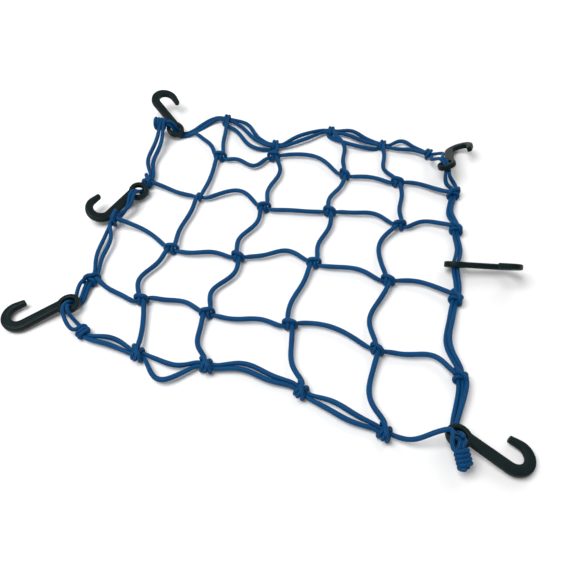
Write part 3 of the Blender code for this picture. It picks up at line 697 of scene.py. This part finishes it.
def right_edge(knots, index):
    """From the far right corner through three eyes to the near right whipping."""
    cord = start_in_corner(knots["R0"], index, CORNER_HALF)
    bow, height = FAR_RIGHT_BENDS[index]
    pass_eye(cord, "far right", (PAIR, PAIR, PAIR), index, bow=bow, height=height, slack=0)
    cord.through(knots["R1"], index, **edge_bend("R0 R1", index))
    cord.through(knots["R2"], index, **edge_bend("R1 R2", index))
    ring = Station(hook_matrix("hook_mid_right").to_translation(), heading(RING_HEADING))
    left = PAIR[index][0] * (2 * RING_RADIUS + EYE_SPACE)
    cord.run(ring.beside(left), bow=RING_BOW, quick=0, slack=RING_RADIUS)
    cord.through(knots["R3"], index, quick=0, slack=RING_RADIUS)
    cord.through(knots["R4"], index, **edge_bend("R3 R4", index))
    pass_eye(cord, "near right", (TRIO, TRIO, TRIO), index)
    whip = knots["R5"]
    cord.run(whip.slot(index, -WHIP_HALF), tight=whip.tight, slack=0)
    cord.straight(whip.slot(index, WHIP_HALF + UNEVEN_ENDS * index))
    return cord


def near_edge(knots, index):
    """From the near left corner; strand a goes on to tie the near right whipping."""
    cord = start_in_corner(knots["L5"], index, KNOT_HALF)
    for before, after in (("L5", "F1"), ("F1", "F2"), ("F2", "F3"), ("F3", "F4")):
        cord.through(knots[after], index, **edge_bend(before + " " + after, index))
    if index == 0:
        rim = eye_stations("near right, last strand")[0]
        cord.run(rim, slack=STRETCHED_RADIUS, pull=LONG_PULL, **NEAR_STRAND)
        whipping = knots["R5"].winding(1, turns=WHIP_TURNS, first=WHIP_FIRST)
        cord.wind(whipping, slack=0, **WHIP_STRAND)
        cord.tail(SHORT_TAIL)
    return cord


def eased_line(places, radii):
    """A route's points at even steps with its corners eased, and the cord's radius at each."""
    points = np.array([tuple(place) for place in places])
    lengths = np.linalg.norm(np.diff(points, axis=0), axis=1)
    along = np.concatenate(([0.0], np.cumsum(lengths)))
    count = round(along[-1] / RING_STEP) + 1
    even = np.linspace(0.0, along[-1], count)
    line = np.stack([np.interp(even, along, points[:, axis]) for axis in range(3)], axis=1)
    sizes = np.interp(even, along, radii)
    reach = math.ceil(3 * EASE / RING_STEP)
    weights = np.exp(-0.5 * (np.arange(-reach, reach + 1) * RING_STEP / EASE) ** 2)
    weights /= weights.sum()
    padded = np.concatenate((2 * line[0] - line[reach:0:-1], line,
                             2 * line[-1] - line[-2:-reach - 2:-1]))
    eased = np.stack([np.convolve(padded[:, axis], weights, "valid") for axis in range(3)], axis=1)
    padded = np.concatenate((sizes[reach:0:-1], sizes, sizes[-2:-reach - 2:-1]))
    return eased, np.convolve(padded, weights, "valid")


def ring_frames(line):
    """Two directions square to the line at each of its points, carried along without twist."""
    ways = np.gradient(line, axis=0)
    ways /= np.linalg.norm(ways, axis=1)[:, None]
    side = np.cross((0.0, 0.0, 1.0), ways[0])
    sides = np.empty_like(line)
    for index, way in enumerate(ways):
        side = side - way * side.dot(way)
        side /= math.sqrt(side.dot(side))
        sides[index] = side
    return sides, np.cross(ways, sides)


def braid_height(around, along):
    """Height of the braid's stitches, 0 to 1: two hands of yarns that cross as diamonds."""
    first = np.abs(np.sin(math.pi * (PLAITS * around + along)))
    second = np.abs(np.sin(math.pi * (PLAITS * around - along)))
    return np.sqrt(first * second)


def slow_wave(along, seed):
    """A smooth uneven line between -1 and 1 along a cord."""
    random = np.random.default_rng(seed)
    wave = np.zeros_like(along)
    for length in WAVE_LENGTHS:
        wave += np.sin(2 * math.pi * (along / length + random.random()))
    return wave / len(WAVE_LENGTHS)


def per_corner(*columns):
    """Numbers for the four corners of each face in a tube's rings."""
    return np.stack(columns, axis=-1).reshape(-1, 4)[:, ::-1]


def braided_mesh(name, places, radii, seed):
    """Mesh and centre line of a braided cord with rounded ends, flat where it is pressed."""
    line, sizes = eased_line(places, radii)
    sides, ups = ring_frames(line)
    along = np.arange(len(line)) * RING_STEP
    sizes = sizes * (1 + UNEVEN * slow_wave(along, seed))
    from_end = np.minimum(along, along[-1] - along)
    sizes = sizes * np.sqrt(np.clip(1 - (1 - from_end / END_ROUND).clip(0) ** 2, END_LEAST, 1))
    around = np.arange(SIDES) / SIDES
    stitches = braid_height(around[None, :], along[:, None] / PLAIT_LENGTH)
    reach = sizes[:, None] + RELIEF * (stitches - RELIEF_MIDDLE) * (sizes[:, None] / CORD_RADIUS)
    angle = 2 * math.pi * around
    points = line[:, None, :] + reach[:, :, None] * (
        np.cos(angle)[None, :, None] * ups[:, None, :]
        + np.sin(angle)[None, :, None] * sides[:, None, :])
    points = points.reshape(-1, 3)
    points[:, 2] = points[:, 2].clip(0)
    rings = len(line)
    ring, corner = np.meshgrid(np.arange(rings - 1), np.arange(SIDES), indexing="ij")
    other = (corner + 1) % SIDES
    faces = per_corner(ring * SIDES + corner, ring * SIDES + other, (ring + 1) * SIDES + other,
                       (ring + 1) * SIDES + corner).tolist()
    faces.append(list(range(SIDES)))
    faces.append(list(range(rings * SIDES - 1, (rings - 1) * SIDES - 1, -1)))
    mesh = bpy.data.meshes.new(name)
    mesh.from_pydata((points * MM).tolist(), [], faces)
    across = per_corner(corner, corner + 1, corner + 1, corner)
    length = per_corner(ring, ring, ring + 1, ring + 1)
    spots = np.zeros((len(mesh.loops), 2), np.float32)
    spots[:across.size, 0] = across.ravel() / SIDES
    spots[:across.size, 1] = length.ravel() * RING_STEP / PLAIT_LENGTH
    layer = mesh.uv_layers.new(name=WEAVE_MAP)
    layer.uv.foreach_set("vector", spots.ravel())
    mesh.polygons.foreach_set("use_smooth", np.ones(len(mesh.polygons), bool))
    mesh.update()
    return mesh, line


def add_object(name, data):
    """A new object in the scene."""
    item = bpy.data.objects.new(name, data)
    bpy.context.scene.collection.objects.link(item)
    return item


def bar_body(name, places, widths, closed=False):
    """A flat-sided bar with rounded edges along places in the XY plane."""
    work = bmesh.new()
    count = len(places)
    rings = []
    for index, (place, width) in enumerate(zip(places, widths)):
        before = places[(index - 1) % count if closed else max(index - 1, 0)]
        after = places[(index + 1) % count if closed else min(index + 1, count - 1)]
        way = ((place - before).normalized() + (after - place).normalized()).normalized()
        side = Vector((-way.y, way.x, 0.0))
        ring = []
        for corner in range(BAR_SIDES):
            angle = 2 * math.pi * (corner + 0.5) / BAR_SIDES
            u, v = math.cos(angle), math.sin(angle)
            u = math.copysign(abs(u) ** BAR_SQUARE, u) * width / 2
            v = math.copysign(abs(v) ** BAR_SQUARE, v) * HOOK_THICK / 2
            ring.append(work.verts.new(place + side * u + Vector((0, 0, v))))
        rings.append(ring)
    pairs = list(zip(rings, rings[1:]))
    if closed:
        pairs.append((rings[-1], rings[0]))
    for ring, following in pairs:
        for corner in range(BAR_SIDES):
            other = (corner + 1) % BAR_SIDES
            work.faces.new((ring[corner], ring[other], following[other], following[corner]))
    if not closed:
        work.faces.new(rings[0])
        work.faces.new(rings[-1])
    bmesh.ops.recalc_face_normals(work, faces=work.faces)
    mesh = bpy.data.meshes.new(name)
    work.to_mesh(mesh)
    work.free()
    return add_object(name, mesh)


def eye_body():
    """The eye, an oval ring round the origin."""
    places = []
    for part in range(EYE_STEPS):
        angle = 2 * math.pi * part / EYE_STEPS
        places.append(Vector((EYE_LONG / 2 * math.cos(angle), EYE_WIDE / 2 * math.sin(angle), 0)))
    return bar_body("eye", places, [EYE_BAR] * EYE_STEPS, closed=True)


def shank_body():
    """The shank, the bend and the arm with its rounded tip."""
    places, widths = [], []
    for part in range(SHANK_STEPS + 1):
        along = SHANK_START + (BEND_CENTRE - SHANK_START) * part / SHANK_STEPS
        places.append(Vector((along, SHANK_SIDE, 0)))
        widths.append(SHANK_WIDE + (BEND_WIDE - SHANK_WIDE) * part / SHANK_STEPS)
    sweep = 180.0 + ARM_LEAN
    for part in range(1, BEND_STEPS + 1):
        angle = math.radians(-90 + sweep * part / BEND_STEPS)
        place = Vector((BEND_CENTRE + BEND_RADIUS * math.cos(angle),
                        SHANK_SIDE + BEND_RADIUS + BEND_RADIUS * math.sin(angle), 0))
        places.append(place)
        widths.append(BEND_WIDE + (ARM_WIDE - BEND_WIDE) * (part / BEND_STEPS) ** 2)
    back = heading(sweep)
    last = widths[-1]
    for part in range(1, ARM_STEPS + 1):
        share = part / ARM_STEPS
        places.append(place + back * (ARM + TIP_LENGTH) * math.sin(share * math.pi / 2))
        taper = last + (TIP_WIDE - last) * min(1.0, share * 2)
        blunt = 1 - max(0.0, share * 2 - 1) ** TIP_POWER
        widths.append(taper * math.sqrt(max(TIP_LEAST, blunt)))
    return bar_body("bar", places, widths)


def add_mould_map(mesh):
    """A map with the length along the hook and the place between its two faces, 0 to 1."""
    places = np.zeros(len(mesh.vertices) * 3, np.float32)
    mesh.vertices.foreach_get("co", places)
    corners = np.zeros(len(mesh.loops), np.int32)
    mesh.loops.foreach_get("vertex_index", corners)
    places = places.reshape(-1, 3)[corners]
    spots = np.stack((places[:, 0] / BEND_CENTRE, places[:, 2] / HOOK_THICK + SEAM_PLACE), axis=1)
    layer = mesh.uv_layers.new(name=MOULD_MAP)
    layer.uv.foreach_set("vector", spots.astype(np.float32).ravel())


def moulded_hook_mesh():
    """The eye and the bar fused with a fillet, as one moulding."""
    bar, eye = shank_body(), eye_body()
    union = bar.modifiers.new("union", "BOOLEAN")
    union.operation = "UNION"
    union.solver = "EXACT"
    union.object = eye
    remesh = bar.modifiers.new("remesh", "REMESH")
    remesh.mode = "VOXEL"
    remesh.voxel_size = HOOK_VOXEL
    smooth = bar.modifiers.new("smooth", "SMOOTH")
    smooth.factor = SMOOTHING_SHARE
    smooth.iterations = HOOK_SMOOTHING
    mesh = bpy.data.meshes.new_from_object(bar.evaluated_get(bpy.context.evaluated_depsgraph_get()))
    bpy.data.objects.remove(bar)
    bpy.data.objects.remove(eye)
    add_mould_map(mesh)
    mesh.transform(Matrix.Scale(MM, 4))
    mesh.polygons.foreach_set("use_smooth", np.ones(len(mesh.polygons), bool))
    return mesh


def new_material(name):
    """A material with its nodes, its links and the shader that they lead to."""
    material = bpy.data.materials.new(name)
    material.use_nodes = True
    nodes, links = material.node_tree.nodes, material.node_tree.links
    return material, nodes, links, nodes["Principled BSDF"]


def set_inputs(node, values):
    for name, value in values.items():
        node.inputs[name].default_value = value


def math_node(nodes, links, operation, *values):
    """A Math node; each value is a number or the output of another node."""
    node = nodes.new("ShaderNodeMath")
    node.operation = operation
    for socket, value in zip(node.inputs, values):
        if isinstance(value, (int, float)):
            socket.default_value = value
        else:
            links.new(value, socket)
    return node.outputs[0]


def mix_colours(nodes, links, share, first, second):
    """A mix of two colours, each given as numbers or as the output of another node."""
    node = nodes.new("ShaderNodeMix")
    node.data_type = "RGBA"
    links.new(share, node.inputs["Factor"])
    for socket, value in ((node.inputs["A"], first), (node.inputs["B"], second)):
        if isinstance(value, tuple):
            socket.default_value = (*value, 1.0)
        else:
            links.new(value, socket)
    return node.outputs["Result"]


def noise(nodes, links, scale, detail):
    """Noise that stays with the piece."""
    place = nodes.new("ShaderNodeTexCoord")
    node = nodes.new("ShaderNodeTexNoise")
    set_inputs(node, {"Scale": scale, "Detail": detail})
    links.new(place.outputs["Object"], node.inputs["Vector"])
    return node.outputs["Fac"]


def mapped(nodes, links, value, ranges):
    """A value mapped from one range to another."""
    node = nodes.new("ShaderNodeMapRange")
    set_inputs(node, dict(zip(("From Min", "From Max", "To Min", "To Max"), ranges)))
    links.new(value, node.inputs["Value"])
    return node.outputs["Result"]


def map_parts(nodes, links, name):
    """The two coordinates of a mesh's map."""
    spots = nodes.new("ShaderNodeUVMap")
    spots.uv_map = name
    parts = nodes.new("ShaderNodeSeparateXYZ")
    links.new(spots.outputs["UV"], parts.inputs[0])
    return parts.outputs["X"], parts.outputs["Y"]


def add_bump(nodes, links, shader, height, values):
    bump = nodes.new("ShaderNodeBump")
    set_inputs(bump, values)
    links.new(height, bump.inputs["Height"])
    links.new(bump.outputs["Normal"], shader.inputs["Normal"])


def cord_material():
    """Blue braided cord: stitches with fine yarns, painted shade between them, soft on its edges.
    """
    material, nodes, links, shader = new_material("braided_cord")
    around, along = map_parts(nodes, links, WEAVE_MAP)
    turned = math_node(nodes, links, "MULTIPLY", around, float(PLAITS))
    hands = [math_node(nodes, links, operation, turned, along) for operation in ("ADD", "SUBTRACT")]
    waves, steps, yarns = [], [], []
    for hand in hands:
        angle = math_node(nodes, links, "MULTIPLY", hand, math.pi)
        wave = math_node(nodes, links, "SINE", angle)
        waves.append(math_node(nodes, links, "ABSOLUTE", wave))
        steps.append(math_node(nodes, links, "FLOOR", hand))
        angle = math_node(nodes, links, "MULTIPLY", hand, 2 * math.pi * YARNS)
        yarns.append(math_node(nodes, links, "SINE", angle))
    stitch = math_node(nodes, links, "SQRT", math_node(nodes, links, "MULTIPLY", *waves))
    # Which hand of yarns is on top changes from stitch to stitch.
    count = math_node(nodes, links, "ABSOLUTE", math_node(nodes, links, "ADD", *steps))
    chosen = nodes.new("ShaderNodeMix")
    links.new(math_node(nodes, links, "MODULO", count, 2.0), chosen.inputs["Factor"])
    links.new(yarns[1], chosen.inputs["A"])
    links.new(yarns[0], chosen.inputs["B"])

    body = mix_colours(nodes, links, noise(nodes, links, *CORD_PATCHES), CORD_DEEP, CORD_BRIGHT)
    # Painted shade: the colour darkens from the stitches' tops into the grooves between them.
    lit = mapped(nodes, links, stitch, STITCH_LIGHT)
    links.new(mix_colours(nodes, links, lit, CORD_SHADE_BETWEEN_STITCHES, body), shader.inputs["Base Color"])
    height = math_node(nodes, links, "MULTIPLY_ADD", chosen.outputs["Result"], YARN_HEIGHT, stitch)
    fibres = noise(nodes, links, *CORD_FIBRES)
    height = math_node(nodes, links, "MULTIPLY_ADD", fibres, FIBRE_HEIGHT, height)
    add_bump(nodes, links, shader, height, CORD_BUMP)
    set_inputs(shader, CORD_SURFACE)
    return material


def hook_material():
    """Dark green-grey moulded plastic with fine grain, duller patches and a painted highlight on
    its sharp edges.
    """
    material, nodes, links, shader = new_material("moulded_plastic")
    patches = noise(nodes, links, *HOOK_PATCHES)
    shape = nodes.new("ShaderNodeNewGeometry")
    # Painted highlight: the sharper an edge, the lighter its colour.
    edges = mapped(nodes, links, shape.outputs["Pointiness"], EDGE_HIGHLIGHT_RANGE)
    body = mix_colours(nodes, links, patches, HOOK_DEEP, HOOK_BRIGHT)
    links.new(mix_colours(nodes, links, edges, body, HOOK_EDGE_HIGHLIGHT), shader.inputs["Base Color"])
    links.new(mapped(nodes, links, patches, HOOK_ROUGHNESS), shader.inputs["Roughness"])
    across = map_parts(nodes, links, MOULD_MAP)[1]
    from_seam = math_node(nodes, links, "ABSOLUTE",
                          math_node(nodes, links, "SUBTRACT", across, SEAM_PLACE))
    seam = mapped(nodes, links, from_seam, SEAM_RISE)
    grain = noise(nodes, links, *HOOK_GRAIN)
    height = math_node(nodes, links, "MULTIPLY_ADD", seam, SEAM_HEIGHT, grain)
    add_bump(nodes, links, shader, height, HOOK_BUMP)
    set_inputs(shader, HOOK_SURFACE)
    return material


def add_piece(name, mesh, material, node):
    """A visible piece that stands for one node of the solid model."""
    piece = add_object(name, mesh)
    mesh.materials.append(material)
    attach(piece, "root")
    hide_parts(node)
    return piece


def add_cords(material):
    """All cords, each along its route."""
    shift = centring()
    knots = border_knots()
    cords = build_rows(knots)
    cords.update(build_columns(knots))
    cords.update(build_edge(knots))
    for seed, (name, cord) in enumerate(sorted(cords.items())):
        mesh, line = braided_mesh("braid_" + name, cord.places, cord.radii, seed)
        mesh.transform(shift)
        piece = add_piece("braid_" + name, mesh, material, name)


def add_hooks(material):
    """The six hooks, all of one shape."""
    shape = moulded_hook_mesh()
    for name in HOOKS:
        matrix = hook_matrix(name)
        matrix.translation *= MM
        mesh = shape.copy()
        mesh.transform(centring() @ matrix)
        add_piece(name + "_moulding", mesh, material, name)


def centring():
    """The shift that takes the net's middle over the origin."""
    return Matrix.Translation((-MIDDLE[0] * MM, -MIDDLE[1] * MM, 0.0))


def add_camera():
    """The photograph's camera."""
    camera = bpy.data.cameras.new("camera")
    camera.sensor_width = SENSOR
    camera.lens = SENSOR * FOCAL_PIXELS / IMAGE_SIZE
    camera.clip_start, camera.clip_end = CLIP
    item = add_object("camera", camera)
    x, y, z = CAMERA_PLACE
    item.location = ((x - MIDDLE[0]) * MM, (y - MIDDLE[1]) * MM, z * MM)
    item.rotation_euler = (math.radians(90 - CAMERA_PITCH), 0.0, math.radians(CAMERA_YAW))
    bpy.context.scene.camera = item


def add_light(name, place, size, power):
    """A soft square light that looks at the net's middle."""
    light = bpy.data.lights.new(name, "AREA")
    light.shape = "SQUARE"
    light.size = size
    light.energy = power
    item = add_object(name, light)
    item.location = place
    item.rotation_euler = (-Vector(place)).to_track_quat("-Z", "Y").to_euler()


def add_floor():
    """A wide pale floor just under the net."""
    work = bmesh.new()
    bmesh.ops.create_grid(work, x_segments=FLOOR_CELLS, y_segments=FLOOR_CELLS, size=FLOOR_SIZE / 2)
    mesh = bpy.data.meshes.new("floor")
    work.to_mesh(mesh)
    work.free()
    floor = add_object("floor", mesh)
    floor.location.z = -FLOOR_DROP
    material, *_, shader = new_material("pale_floor")
    set_inputs(shader, FLOOR_SURFACE)
    mesh.materials.append(material)


def set_world():
    """Even white light from all round, and plain colours in the picture."""
    world = bpy.data.worlds.new("studio")
    world.use_nodes = True
    set_inputs(world.node_tree.nodes["Background"], WORLD_LIGHT)
    bpy.context.scene.world = world
    bpy.context.scene.view_settings.view_transform = "Standard"


add_camera()
for name, values in LIGHTS.items():
    add_light(name, *values)
add_floor()
set_world()
add_cords(cord_material())
add_hooks(hook_material())
bpy.context.view_layer.update()
